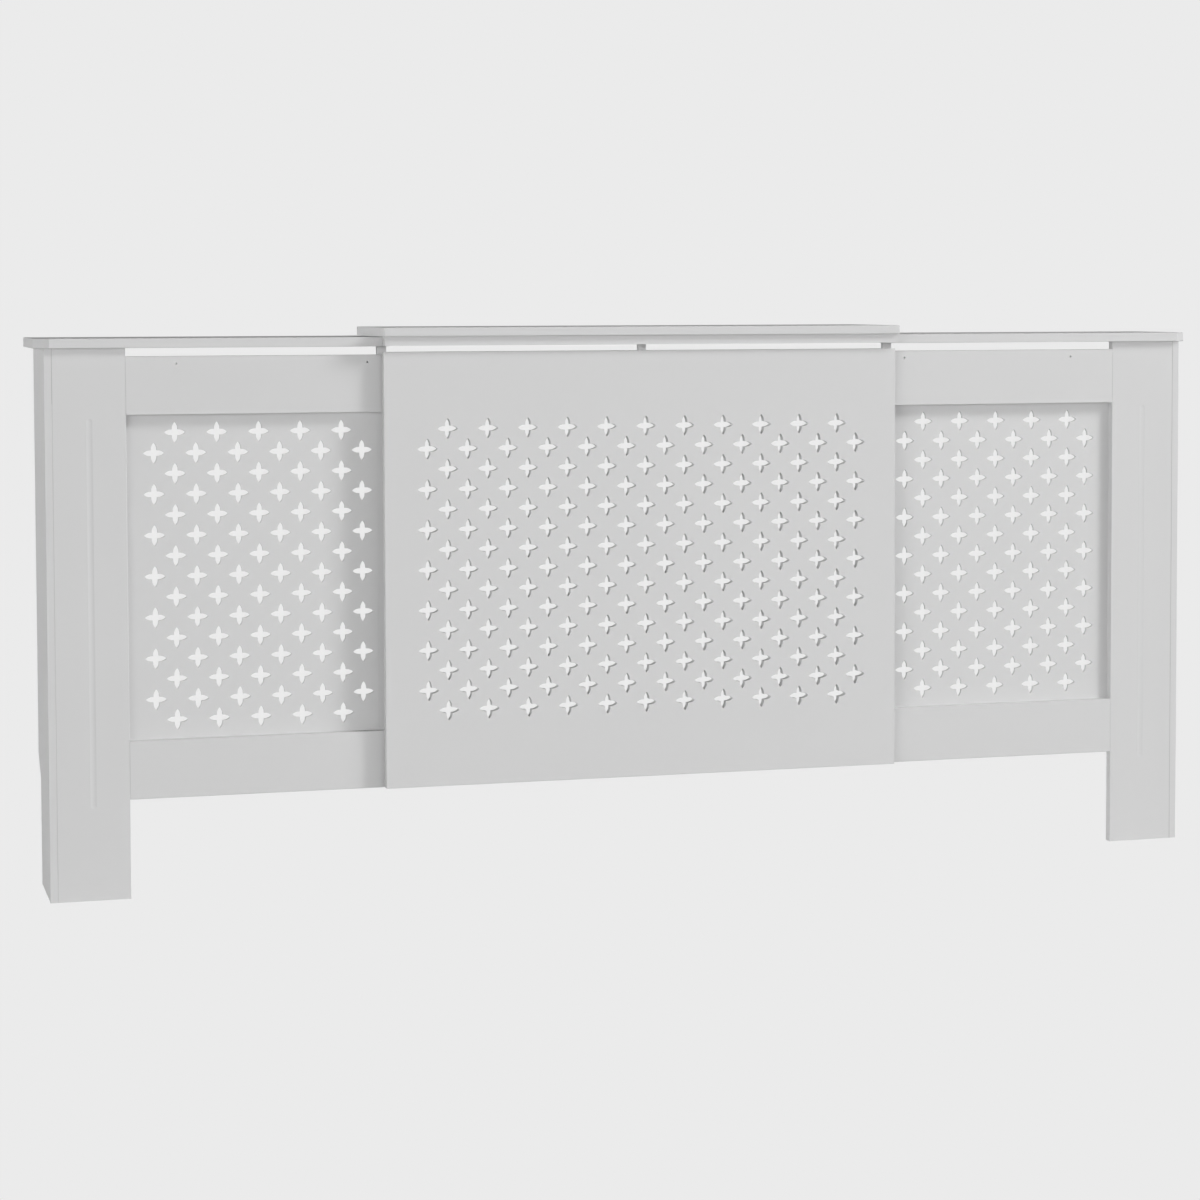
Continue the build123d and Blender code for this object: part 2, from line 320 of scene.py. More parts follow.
@dataclass(frozen=True)
class Seam:
    """Painted shade: the upright line on the front where two boards meet, darkened as the shade in
    the joint between them.
    """

    x: float
    low: float
    high: float
    front: float  # Y of the boards' front faces
    shade_share: float  # share of the paint's tone that the painted shade takes away in the middle of the line
    half_width: float = 0.5 * MM
    reach: float = 0.6 * MM  # how far behind the front faces it still shows

    def mask(self, board: Board, place: Signal) -> Signal:
        """Draws the painted shade along the line.

        Args:
            board: The paint's board.
            place: The piece's own coordinates.

        Returns:
            The share of the tone that the painted shade takes away at each point.
        """
        offset = abs(board.along(place, "X") - self.x) * (1.0 / self.half_width)
        # painted shade: darkest in the middle of the joint, fading out half_width to each side
        line = (1.0 - offset).at_least(0.0) * self.shade_share
        height = board.along(place, "Z").between(self.low, self.high)
        depth = board.along(place, "Y").between(self.front - self.reach, self.front + self.reach)
        return line * height * depth


@dataclass(frozen=True)
class SatinPaint:
    """Satin paint on fibreboard: a faint orange peel over a broader, fainter unevenness, with
    painted shade along the joints between boards.
    """

    name: str = "satin_paint"
    tone: tuple[float, float, float] = (0.640, 0.640, 0.641)
    tone_change: float = 0.012  # share of the tone by which it varies each way
    broad_share: float = 0.7  # how much of that follows the broad clouds
    peel_share: float = 0.3  # and how much the orange peel
    roughness: float = 0.55
    roughness_change: float = 0.08
    gloss: float = 0.0  # specular level
    broad_scale: float = 5.0
    peel_scale: float = 520.0
    peel_depth: float = 0.010 * MM
    wave_scale: float = 26.0
    wave_depth: float = 0.05 * MM
    # painted shade in the joints between boards
    seams: tuple[Seam, ...] = ()

    def build(self) -> bpy.types.Material:
        """Builds the material.

        Returns:
            The paint.
        """
        material, board = new_material(self.name)
        place = board.coordinates()
        # painted shade: the share of the tone that the joint lines take away
        shade_share: Signal | float = 0.0
        for shaded_joint in self.seams:
            shade_share = shade_share + shaded_joint.mask(board, place)
        broad = board.noise(place, self.broad_scale)
        wave = board.noise(place, self.wave_scale, 1.0)
        peel = board.noise(place, self.peel_scale, 3.0)
        low = tuple(channel * (1.0 - self.tone_change) for channel in self.tone) + (1.0,)
        high = tuple(channel * (1.0 + self.tone_change) for channel in self.tone) + (1.0,)
        normal = board.bump(peel, self.peel_depth, board.bump(wave, self.wave_depth))
        even = board.mix(broad * self.broad_share + peel * self.peel_share, low, high)
        board.principled(
            {
                # painted shade: the joint lines mix the base colour towards black
                "Base Color": board.mix(shade_share, even, grey(0.0)),
                "Roughness": self.roughness + (peel - 0.5) * self.roughness_change,
                "Specular IOR Level": self.gloss,
                "Normal": normal,
            }
        )
        return material


@dataclass(frozen=True)
class ZincSteel:
    """Zinc-plated sheet steel: dull patches and fine rolling lines."""

    name: str = "zinc_steel"
    bright: tuple[float, float, float, float] = (0.66, 0.67, 0.69, 1.0)
    dull: tuple[float, float, float, float] = (0.50, 0.51, 0.53, 1.0)
    roughness: float = 0.30
    patch_roughness: float = 0.18  # what the dull patches add
    line_roughness: float = 0.10  # what the rolling lines add
    patch_scale: float = 240.0
    line_scale: float = 900.0
    line_depth: float = 0.01 * MM
    line_stretch: tuple[float, float, float] = (0.06, 1.0, 1.0)

    def build(self) -> bpy.types.Material:
        """Builds the material.

        Returns:
            The steel.
        """
        material, board = new_material(self.name)
        patches = board.noise(board.coordinates(), self.patch_scale)
        lines = board.noise(board.coordinates(self.line_stretch), self.line_scale, 4.0)
        rough = self.roughness + patches * self.patch_roughness + lines * self.line_roughness
        board.principled(
            {
                "Base Color": board.mix(patches, self.dull, self.bright),
                "Metallic": 1.0,
                "Roughness": rough,
                "Normal": board.bump(lines, self.line_depth),
            }
        )
        return material


@dataclass(frozen=True)
class PressedFelt:
    """Grey pressed felt: matted fibres with a soft sheen."""

    name: str = "pressed_felt"
    dark: tuple[float, float, float, float] = (0.24, 0.24, 0.245, 1.0)
    light: tuple[float, float, float, float] = (0.46, 0.46, 0.455, 1.0)
    fibre_scale: float = 1500.0
    fibre_stretch: float = 0.15  # of the pattern along the fibres
    fibre_share: float = 0.35  # of each of the two directions of fibre
    clump_scale: float = 260.0
    clump_share: float = 0.3
    depth: float = 0.35 * MM
    roughness: float = 0.95
    sheen: float = 0.4
    sheen_roughness: float = 0.5
    gloss: float = 0.2  # specular level

    def build(self) -> bpy.types.Material:
        """Builds the material.

        Returns:
            The felt.
        """
        material, board = new_material(self.name)
        level = board.coordinates((self.fibre_stretch, 1.0, 1.0))
        along = board.noise(level, self.fibre_scale, 4.0)
        upright = board.coordinates((1.0, 1.0, self.fibre_stretch))
        across = board.noise(upright, self.fibre_scale, 4.0)
        clumps = board.noise(board.coordinates(), self.clump_scale, 3.0)
        matted = along * self.fibre_share + across * self.fibre_share
        fibres = matted + clumps * self.clump_share
        board.principled(
            {
                "Base Color": board.mix(fibres, self.dark, self.light),
                "Roughness": self.roughness,
                "Sheen Weight": self.sheen,
                "Sheen Roughness": self.sheen_roughness,
                "Specular IOR Level": self.gloss,
                "Normal": board.bump(fibres, self.depth),
            }
        )
        return material


@dataclass(frozen=True)
class BeechWood:
    """Bare beech: fine grain along the dowel, with short dark flecks."""

    name: str = "beech"
    pale: tuple[float, float, float, float] = (0.64, 0.47, 0.30, 1.0)
    dark: tuple[float, float, float, float] = (0.47, 0.30, 0.17, 1.0)
    grain_scale: float = 700.0
    fleck_scale: float = 1600.0
    fleck_start: float = 0.62  # noise value above which a fleck shows
    fleck_gain: float = 2.5
    depth: float = 0.05 * MM
    roughness: float = 0.62
    roughness_change: float = 0.1
    grain_stretch: tuple[float, float, float] = (0.08, 1.0, 1.0)

    def build(self) -> bpy.types.Material:
        """Builds the material.

        Returns:
            The beech.
        """
        material, board = new_material(self.name)
        place = board.coordinates(self.grain_stretch)
        grain = board.noise(place, self.grain_scale, 4.0)
        spots = board.noise(place, self.fleck_scale, 1.0) - self.fleck_start
        flecks = spots.at_least(0.0) * self.fleck_gain
        shade = (grain + flecks).at_most(1.0)
        board.principled(
            {
                "Base Color": board.mix(shade, self.pale, self.dark),
                "Roughness": self.roughness + grain * self.roughness_change,
                "Normal": board.bump(shade, self.depth),
            }
        )
        return material


def new_material(name: str) -> tuple[bpy.types.Material, Board]:
    """Makes an empty node material.

    Args:
        name: The material's name.

    Returns:
        The material and the board of its nodes.
    """
    material = bpy.data.materials.new(name)
    material.use_nodes = True
    return material, Board(material.node_tree)


# --- Mesh work ------------------------------------------------------------------------------------


def finish_piece(
    bm: bmesh.types.BMesh,
    name: str,
    body: Body,
    slot: Slot,
    finishes: dict[Slot, bpy.types.Material],
) -> bpy.types.Object:
    """Closes a bmesh, turns it into an object, dresses it and lets it ride.

    Args:
        bm: The finished shape, which is freed.
        name: The piece's name.
        body: The body that it moves with.
        slot: The record's slot that its finish comes from.
        finishes: The material of each slot.

    Returns:
        The new object.
    """
    bmesh.ops.remove_doubles(bm, verts=bm.verts, dist=WELD)
    bmesh.ops.recalc_face_normals(bm, faces=bm.faces)
    loose = sum(1 for edge in bm.edges if not edge.is_manifold)
    mesh = bpy.data.meshes.new(name)
    bm.to_mesh(mesh)
    bm.free()
    mesh.polygons.foreach_set("use_smooth", [True] * len(mesh.polygons))
    mesh.set_sharp_from_angle(angle=SMOOTH_UP_TO)
    mesh.materials.append(finishes[slot])
    piece = bpy.data.objects.new(name, mesh)
    bpy.context.scene.collection.objects.link(piece)
    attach(piece, body.value)
    faces = len(mesh.polygons)
    log.info("%s: %d faces, %d open edges, rides on %s", name, faces, loose, body.value)
    return piece


@dataclass(frozen=True)
class StarCut:
    """One four-petalled star: each petal has two bulging sides and a narrow blunt tip."""

    reach: float = 14.9 * MM  # centre to the tip of a petal
    waist: float = 6.0 * MM  # centre to the notch between two petals
    bulge: float = 1.2 * MM  # of a petal's side beyond the straight line from notch to tip
    tip_half_width: float = 0.6 * MM
    side_steps: int = 3  # straight pieces in one side of a petal

    @property
    def petal_steps(self) -> int:
        """Straight pieces from one notch round a petal to the next."""
        return 2 * self.side_steps + 1

    def petal_point(self, step: int) -> Vector:
        """Places one point of the petal that points along +X.

        Args:
            step: Which point, from 0 at the lower notch to petal_steps at the upper notch.

        Returns:
            The point, in X and Y.
        """
        above = 1.0 if step > self.petal_steps / 2 else -1.0
        from_notch = min(step, self.petal_steps - step)
        share = from_notch / self.side_steps
        notch = Vector((self.waist, self.waist)) / math.sqrt(2.0)
        tip = Vector((self.reach, self.tip_half_width))
        chord = tip - notch
        outward = Vector((-chord.y, chord.x)).normalized()
        point = notch + chord * share + outward * (4.0 * self.bulge * share * (1.0 - share))
        return Vector((point.x, above * point.y))

    def place(self, offset: Vector, half: Vector) -> Vector:
        """Moves a point on the rim of an upright rectangle to the star's outline.

        Args:
            offset: The point from the rectangle's centre, in X and Z.
            half: Half of the rectangle's width and height.

        Returns:
            The point's new offset, in X and Z.
        """
        across, up = offset.x / half.x, offset.y / half.y
        turns = 0
        while not (across > 0.0 and across >= abs(up) - TIE):
            across, up = up, -across
            turns += 1
        step = round((up / across + 1.0) / 2.0 * self.petal_steps)
        point = self.petal_point(step)
        for _ in range(turns):
            point = Vector((-point.y, point.x))
        return point


@dataclass
class PiercedBoard:
    """A flat upright board with rows of star-shaped holes, in place of its plainer solid.

    The board is laid out as tiles half a pitch wide and high, with a star in every other tile. The
    rim tiles stretch to the board's edges.
    """

    node: str
    body: Body
    long_row: int  # stars in the longer rows
    middle_x: float  # of the pattern
    name: str
    rows: int = 15
    middle_z: float = 469.8 * MM
    tile_width: float = 30.7 * MM
    tile_height: float = 30.075 * MM
    seat: float = 3.0 * MM  # first inset of a tile, before the star takes its shape
    tile_bow: float = 3.0 * MM  # how far the sides of a starred tile bend out, clear of the petals
    rim_ease: float = 0.1 * MM  # rounding of the star rims
    edge_ease: float = 0.45 * MM  # rounding of the board's outer edges
    extra_depth: float = 0.0  # how much thicker than its solid the board is, at the back
    rim_slack: float = 0.4  # share of a tile that a middle may lie past the outer rows' middles
    grid_slack: float = 0.01  # share of a tile that a middle may lie off its row and column
    star: StarCut = field(default_factory=StarCut)

    @property
    def columns(self) -> int:
        """Tiles across the pattern."""
        return 2 * self.long_row - 1

    def build(self, finishes: dict[Slot, bpy.types.Material]) -> bpy.types.Object:
        """Builds the board.

        Args:
            finishes: The material of each slot.

        Returns:
            The board's object.
        """
        low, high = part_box(self.node)
        bm = bmesh.new()
        self._lay_tiles(bm, low, high)
        self._cut_stars(bm)
        high = high + Vector((0.0, self.extra_depth, 0.0))
        back = bmesh.ops.extrude_face_region(bm, geom=bm.faces[:], use_keep_orig=True)["geom"]
        back_verts = [item for item in back if isinstance(item, bmesh.types.BMVert)]
        bmesh.ops.translate(bm, verts=back_verts, vec=(0.0, high.y - low.y, 0.0))
        self._ease(bm, low, high)
        piece = finish_piece(bm, self.name, self.body, Slot.PAINT, finishes)
        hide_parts(self.node)
        return piece

    @staticmethod
    def _lines(low: float, high: float, middle: float, count: int, size: float) -> list[float]:
        """Lists the places of the tile edges along one axis.

        Args:
            low: The board's lower edge.
            high: The board's upper edge.
            middle: The middle of the pattern.
            count: Tiles in the pattern.
            size: The length of one tile.

        Returns:
            The places, with the board's two edges first and last.
        """
        inner = [middle + (n - count / 2.0) * size for n in range(count + 1)]
        return [low, *inner, high]

    def _lay_tiles(self, bm: bmesh.types.BMesh, low: Vector, high: Vector) -> None:
        """Lays the front face as a grid of tiles.

        Args:
            bm: The empty bmesh.
            low: The board's lowest corner.
            high: The board's highest corner.
        """
        x_lines = self._lines(low.x, high.x, self.middle_x, self.columns, self.tile_width)
        z_lines = self._lines(low.z, high.z, self.middle_z, self.rows, self.tile_height)
        x_count, z_count = len(x_lines) - 1, len(z_lines) - 1
        bmesh.ops.create_grid(bm, x_segments=x_count, y_segments=z_count, size=1.0)
        for vert in bm.verts:
            column = round((vert.co.x + 1.0) / 2.0 * x_count)
            row = round((vert.co.y + 1.0) / 2.0 * z_count)
            vert.co = Vector((x_lines[column], low.y, z_lines[row]))
        bm.normal_update()

    def _is_starred(self, face: bmesh.types.BMFace) -> bool:
        """Tells whether a tile holds a star.

        Args:
            face: The tile.

        Returns:
            True for every other tile of the pattern, with short rows at the top and bottom.
        """
        centre = face.calc_center_median()
        column = (centre.x - self.middle_x) / self.tile_width + (self.columns - 1) / 2.0
        row = (centre.z - self.middle_z) / self.tile_height + (self.rows - 1) / 2.0
        for place, count in ((column, self.columns), (row, self.rows)):
            if not -self.rim_slack < place < count - 1.0 + self.rim_slack:
                return False
            if abs(place - round(place)) >= self.grid_slack:
                return False
        return (round(column) + round(row)) % 2 == 1

    def _cut_stars(self, bm: bmesh.types.BMesh) -> None:
        """Cuts a star out of every other tile.

        Args:
            bm: The tiled face.
        """
        holes = [face for face in bm.faces if self._is_starred(face)]
        middles = [(face.calc_center_bounds().x, face.calc_center_bounds().z) for face in holes]
        borders = [(edge, middle) for face, middle in zip(holes, middles) for edge in face.edges]
        bmesh.ops.inset_individual(bm, faces=holes, thickness=self.seat, use_even_offset=True)
        rims = list({edge for face in holes for edge in face.edges})
        bmesh.ops.bisect_edges(bm, edges=rims, cuts=self.star.petal_steps - 1)
        half = Vector((self.tile_width / 2.0 - self.seat, self.tile_height / 2.0 - self.seat))
        for face, (middle_x, middle_z) in zip(holes, middles):
            for vert in face.verts:
                offset = Vector((vert.co.x - middle_x, vert.co.z - middle_z))
                moved = self.star.place(offset, half)
                vert.co.x = middle_x + moved.x
                vert.co.z = middle_z + moved.y
        for edge, (middle_x, middle_z) in borders:
            made = bmesh.ops.bisect_edges(bm, edges=[edge], cuts=1)["geom_split"]
            bend = next(item for item in made if isinstance(item, bmesh.types.BMVert))
            outward = Vector((bend.co.x - middle_x, 0.0, bend.co.z - middle_z)).normalized()
            bend.co += outward * self.tile_bow
        bmesh.ops.delete(bm, geom=holes, context="FACES_ONLY")

    def _ease(self, bm: bmesh.types.BMesh, low: Vector, high: Vector) -> None:
        """Eases the rims of the stars and the outer edges of the board.

        Args:
            bm: The solid.
            low: The board's lowest corner.
            high: The board's highest corner.
        """
        bmesh.ops.recalc_face_normals(bm, faces=bm.faces)

        def on_outline(edge: bmesh.types.BMEdge) -> bool:
            """Tells whether an edge lies along the board's outline.

            Args:
                edge: The edge.

            Returns:
                True where both its ends are on one of the board's four outer sides.
            """
            ends = [vert.co for vert in edge.verts]
            return any(
                all(abs(end[axis] - level[axis]) < FLUSH for end in ends)
                for axis in (0, 2)
                for level in (low, high)
            )

        rims = [
            edge for edge in sharp_edges(bm) if not is_through(edge) and not on_outline(edge)
        ]
        ease_edges(bm, rims, self.rim_ease)
        outer = [edge for edge in sharp_edges(bm) if on_outline(edge)]
        ease_edges(bm, outer, min(self.edge_ease, (high.y - low.y) / 4.0))


def sharp_edges(bm: bmesh.types.BMesh) -> list[bmesh.types.BMEdge]:
    """Lists the edges at which two faces meet at a sharp angle."""
    return [edge for edge in bm.edges if edge.is_manifold and edge.calc_face_angle() > CREASE]


def is_through(edge: bmesh.types.BMEdge) -> bool:
    """Tells whether an edge runs through a board from front to back."""
    first, second = (vert.co for vert in edge.verts)
    return abs(first.y - second.y) > FLUSH


def ease_edges(bm: bmesh.types.BMesh, edges: Sequence[bmesh.types.BMEdge], offset: float) -> None:
    """Takes the sharpness off edges with one narrow flat.

    Args:
        bm: The bmesh that holds the edges.
        edges: The edges.
        offset: The width taken off each side.
    """
    bmesh.ops.bevel(
        bm,
        geom=list(edges),
        offset=offset,
        offset_type="OFFSET",
        segments=1,
        profile=0.5,
        affect="EDGES",
        clamp_overlap=True,
        material=-1,
    )


@dataclass(frozen=True)
class CrossScrew:
    """A pan-head wood screw with a cross recess, of which the head and a short shank are made."""

    head_radius: float = 3.9 * MM
    head_height: float = 2.2 * MM
    recess_depth: float = 1.3 * MM
    shank_radius: float = 1.7 * MM
    shank_length: float = 1.9 * MM
    crown_radius: float = 2.6 * MM  # of the flat on top, which holds the recess
    grid: int = 5  # squares across the crown before it is rounded
    inner_pull: float = 0.92  # by which the crown's inner corners are drawn in
    recess_taper: float = 0.55  # width of the recess at its floor, of that at its top
    shoulder: tuple[float, float] = (0.88, 0.80)  # the head's shoulder, of its radius and height
    brim: float = 0.45  # height to which the head is straight, of the whole

    def add(self, bm: bmesh.types.BMesh, seat: Vector, axis: Vector) -> None:
        """Adds one screw.

        Args:
            bm: The bmesh to add it to.
            seat: The middle of the underside of the head.
            axis: The way that the head faces.
        """
        screw = bmesh.new()
        self._crown(screw)
        self._skirt(screw)
        turn = axis.to_track_quat("Z", "Y").to_matrix().to_4x4()
        bmesh.ops.transform(screw, matrix=Matrix.Translation(seat) @ turn, verts=screw.verts)
        merge_into(bm, screw)

    def _crown(self, screw: bmesh.types.BMesh) -> None:
        """Makes the round top with its cross recess, facing +Z.

        Args:
            screw: The empty bmesh.
        """
        bmesh.ops.create_grid(
            screw, x_segments=self.grid, y_segments=self.grid, size=self.crown_radius
        )
        step = 2.0 * self.crown_radius / self.grid
        for vert in screw.verts:
            distance = max(abs(vert.co.x), abs(vert.co.y))
            if distance > self.crown_radius - step / 2.0:
                vert.co = vert.co.normalized() * self.crown_radius
            elif distance > step:
                vert.co *= self.inner_pull
            vert.co.z = self.head_height
        cross = []
        for face in screw.faces:
            centre = face.calc_center_median()
            column, row = round(centre.x / step), round(centre.y / step)
            if abs(column) + abs(row) <= 1:
                cross.append(face)
        sunk = bmesh.ops.extrude_face_region(screw, geom=cross)["geom"]
        bmesh.ops.delete(screw, geom=cross, context="FACES_ONLY")
        floor = [item for item in sunk if isinstance(item, bmesh.types.BMVert)]
        bmesh.ops.translate(screw, vec=(0.0, 0.0, -self.recess_depth), verts=floor)
        taper = (self.recess_taper, self.recess_taper, 1.0)
        bmesh.ops.scale(screw, vec=taper, verts=floor)

    def _skirt(self, screw: bmesh.types.BMesh) -> None:
        """Carries the rim of the crown down to the seat, in to the shank and to its end.

        Args:
            screw: The bmesh that holds the crown.
        """
        shoulder_width, shoulder_height = self.shoulder
        rings = (
            (self.head_radius * shoulder_width, self.head_height * shoulder_height),
            (self.head_radius, self.head_height * self.brim),
            (self.head_radius, 0.0),
            (self.shank_radius, 0.0),
            (self.shank_radius, -self.shank_length),
        )
        rim = [
            edge
            for edge in screw.edges
            if edge.is_boundary and edge.verts[0].co.length > self.crown_radius
        ]
        radius = self.crown_radius
        for next_radius, height in rings:
            made = bmesh.ops.extrude_edge_only(screw, edges=rim)["geom"]
            rim = [item for item in made if isinstance(item, bmesh.types.BMEdge)]
            verts = [item for item in made if isinstance(item, bmesh.types.BMVert)]
            ratio = next_radius / radius
            bmesh.ops.scale(screw, vec=(ratio, ratio, 1.0), verts=verts)
            for vert in verts:
                vert.co.z = height
            radius = next_radius
        bmesh.ops.edgeloop_fill(screw, edges=rim)


def merge_into(target: bmesh.types.BMesh, source: bmesh.types.BMesh) -> None:
    """Adds one bmesh to another and frees it.

    Args:
        target: The bmesh that grows.
        source: The bmesh that is added.
    """
    bmesh.ops.recalc_face_normals(source, faces=source.faces)
    passing = bpy.data.meshes.new("passing")
    source.to_mesh(passing)
    source.free()
    target.from_mesh(passing)
    bpy.data.meshes.remove(passing)


# --- Sub-assemblies -------------------------------------------------------------------------------

BACK = Vector((0.0, 1.0, 0.0))
DOWN = Vector((0.0, 0.0, -1.0))


@dataclass
class SideUnit:
    """One side unit: its grille sheet, and the screws and pins behind its boards."""

    side: Side
    screw: CrossScrew = field(default_factory=CrossScrew)
    plate_width: float = 22.0 * MM
    plate_hole_inset: float = 8.0 * MM
    plate_hole_step: float = 14.0 * MM  # between the two holes on one side of the joint
    sheet_steel: float = 2.0 * MM
    angle_leg: float = 25.0 * MM
    angle_width: float = 16.0 * MM
    leg_angle_offset: float = 60.0 * MM  # outer face to the middle of the angle behind the leg
    long_row: int = 6
    pattern_offset: float = 310.5 * MM  # outer face of the unit to the middle of its stars
    pattern_middle: float = 469.0 * MM  # floor to the middle of its stars
    sheet_ease: float = 0.2 * MM  # rounding of the sheet's outer edges
    extra_sheet: float = 2.0 * MM  # the sheet looks 5 mm thick in the photo; its solid has 3 mm
    pin_radius: float = 1.2 * MM
    pin_height: float = 0.7 * MM
    pin_facets: tuple[int, int] = (12, 6)  # round the pin, and from pole to pole
    pin_margin: float = 6.0 * MM  # pins in from the edge of the sheet
    pin_spacing: float = 90.0 * MM

    def build(self, finishes: dict[Slot, bpy.types.Material]) -> list[bpy.types.Object]:
        """Builds the unit's own pieces.

        Args:
            finishes: The material of each slot.

        Returns:
            The new objects.
        """
        return [self._grille(finishes), self._screws(finishes), self._pins(finishes)]

    def _node(self, name: str) -> str:
        """Names one of this unit's nodes."""
        return f"{self.side.word}_{name}"

    def _outer_x(self, name: str) -> float:
        """Gives the outer end of one of this unit's nodes, along X."""
        low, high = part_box(self._node(name))
        return low.x if self.side is Side.LEFT else high.x

    def _grille(self, finishes: dict[Slot, bpy.types.Material]) -> bpy.types.Object:
        """Makes the pierced sheet behind the rails.

        Args:
            finishes: The material of each slot.

        Returns:
            The sheet's object.
        """
        sheet = PiercedBoard(
            node=self._node("grille"),
            body=self.side.body,
            long_row=self.long_row,
            middle_x=self._outer_x("side_panel") - self.side.value * self.pattern_offset,
            name=f"star_grille_{self.side.word}",
            middle_z=self.pattern_middle,
            edge_ease=self.sheet_ease,
            extra_depth=self.extra_sheet,
        )
        return sheet.build(finishes)

    def _screws(self, finishes: dict[Slot, bpy.types.Material]) -> bpy.types.Object:
        """Puts a screw in every hole of the plates, the shelf angles and the bracket's return.

        Args:
            finishes: The material of each slot.

        Returns:
            The screws, as one object.
        """
        bm = bmesh.new()
        for places in (self._plate_screws(), self._angle_screws(), self._bracket_screws()):
            for seat, axis in places:
                self.screw.add(bm, seat, axis)
        return finish_piece(bm, f"screws_{self.side.word}", self.side.body, Slot.STEEL, finishes)

    @property
    def _inward(self) -> Vector:
        """The direction from the unit's side panel to the middle of the cover."""
        return Vector((-self.side.value, 0.0, 0.0))

    def _plate_screws(self) -> Iterable[tuple[Vector, Vector]]:
        """Places the screws of the two rail plates.

        Returns:
            The seat and the facing of each.
        """
        low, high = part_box(self._node("rail_plates"))
        half_plate = self.plate_hole_inset + self.plate_hole_step
        half_width = self.plate_width / 2.0
        for z in (low.z + half_width, high.z - half_width):
            for x in (
                low.x + self.plate_hole_inset,
                low.x + half_plate,
                high.x - half_plate,
                high.x - self.plate_hole_inset,
            ):
                yield Vector((x, high.y, z)), BACK

    def _angle_screws(self) -> Iterable[tuple[Vector, Vector]]:
        """Places the screws of the angle behind the leg and of the one on the side panel.

        Returns:
            The seat and the facing of each.
        """
        case_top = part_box(self._node("side_panel"))[1].z
        mid_leg = (self.angle_leg + self.sheet_steel) / 2.0
        low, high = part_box(self._node("shelf_angles"))
        leg_x = self._outer_x("side_panel") - self.side.value * self.leg_angle_offset
        yield Vector((leg_x, low.y + self.sheet_steel, case_top - mid_leg)), BACK
        yield Vector((leg_x, low.y + mid_leg, case_top - self.sheet_steel)), DOWN
        panel_x = self._outer_x("shelf_angles")
        panel_y = high.y - self.angle_width / 2.0
        near = Vector((panel_x, panel_y, case_top - mid_leg))
        yield near + self._inward * self.sheet_steel, self._inward
        under = Vector((panel_x, panel_y, case_top - self.sheet_steel))
        yield under + self._inward * mid_leg, DOWN

    def _bracket_screws(self) -> Iterable[tuple[Vector, Vector]]:
        """Places the screw of the wall bracket's return.

        Returns:
            Its seat and facing.
        """
        low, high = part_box(self._node("wall_bracket"))
        middle_y = (low.y + high.y - self.sheet_steel) / 2.0
        middle_z = (low.z + high.z) / 2.0
        face = Vector((self._outer_x("wall_bracket"), middle_y, middle_z))
        yield face + self._inward * self.sheet_steel, self._inward

    def _pins(self, finishes: dict[Slot, bpy.types.Material]) -> bpy.types.Object:
        """Puts panel pins through the grille sheet, along both rails.

        Args:
            finishes: The material of each slot.

        Returns:
            The pins, as one object.
        """
        low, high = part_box(self._node("grille"))
        run = high.x - low.x - 2.0 * self.pin_margin
        count = 1 + round(run / self.pin_spacing)
        bm = bmesh.new()
        for z in (low.z + self.pin_margin, high.z - self.pin_margin):
            for n in range(count):
                x = low.x + self.pin_margin + run * n / (count - 1)
                self._add_pin(bm, Vector((x, high.y + self.extra_sheet, z)))
        name = f"grille_pins_{self.side.word}"
        return finish_piece(bm, name, self.side.body, Slot.STEEL, finishes)

    def _add_pin(self, bm: bmesh.types.BMesh, seat: Vector) -> None:
        """Adds the low domed head of one pin, facing back.

        Args:
            bm: The bmesh to add it to.
            seat: The middle of the head, on the sheet.
        """
        pin = bmesh.new()
        around, up = self.pin_facets
        bmesh.ops.create_uvsphere(pin, u_segments=around, v_segments=up, radius=self.pin_radius)
        cut = bmesh.ops.bisect_plane(
            pin,
            geom=pin.verts[:] + pin.edges[:] + pin.faces[:],
            plane_co=(0.0, 0.0, 0.0),
            plane_no=(0.0, -1.0, 0.0),
            clear_outer=True,
        )["geom_cut"]
        rim = [item for item in cut if isinstance(item, bmesh.types.BMEdge)]
        bmesh.ops.edgeloop_fill(pin, edges=rim)
        flatten = Matrix.Diagonal((1.0, self.pin_height / self.pin_radius, 1.0, 1.0))
        bmesh.ops.transform(pin, matrix=Matrix.Translation(seat) @ flatten, verts=pin.verts)
        merge_into(bm, pin)


@dataclass
class CentreSection:
    """The centre section: its pierced panel in front of the side units."""

    long_row: int = 12  # stars in the longer rows

    def build(self, finishes: dict[Slot, bpy.types.Material]) -> list[bpy.types.Object]:
        """Builds the section's own pieces.

        Args:
            finishes: The material of each slot.

        Returns:
            The new objects.
        """
        low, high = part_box("centre_panel")
        panel = PiercedBoard(
            node="centre_panel",
            body=Body.CENTRE,
            long_row=self.long_row,
            middle_x=(low.x + high.x) / 2.0,
            name="star_panel_centre",
        )
        return [panel.build(finishes)]


# --- Studio ---------------------------------------------------------------------------------------


@dataclass(frozen=True)
class Glow:
    """A soft patch of light in the band round the horizon."""

    heading: float  # where it stands, in degrees anticlockwise from +X
    strength: float
    sharpness: float  # the higher, the narrower

    def add(self, board: Board, direction: Signal) -> Signal:
        """Gives the patch's strength in a direction.

        Args:
            board: The world's board.
            direction: Where the ray goes.

        Returns:
            The strength.
        """
        angle = math.radians(self.heading)
        middle = (math.cos(angle), math.sin(angle), 0.0)
        facing = board.node(
            "ShaderNodeVectorMath", {"operation": "DOT_PRODUCT"}, {0: direction, 1: middle}, "Value"
        )
        return facing.at_least(0.0) ** self.sharpness * self.strength


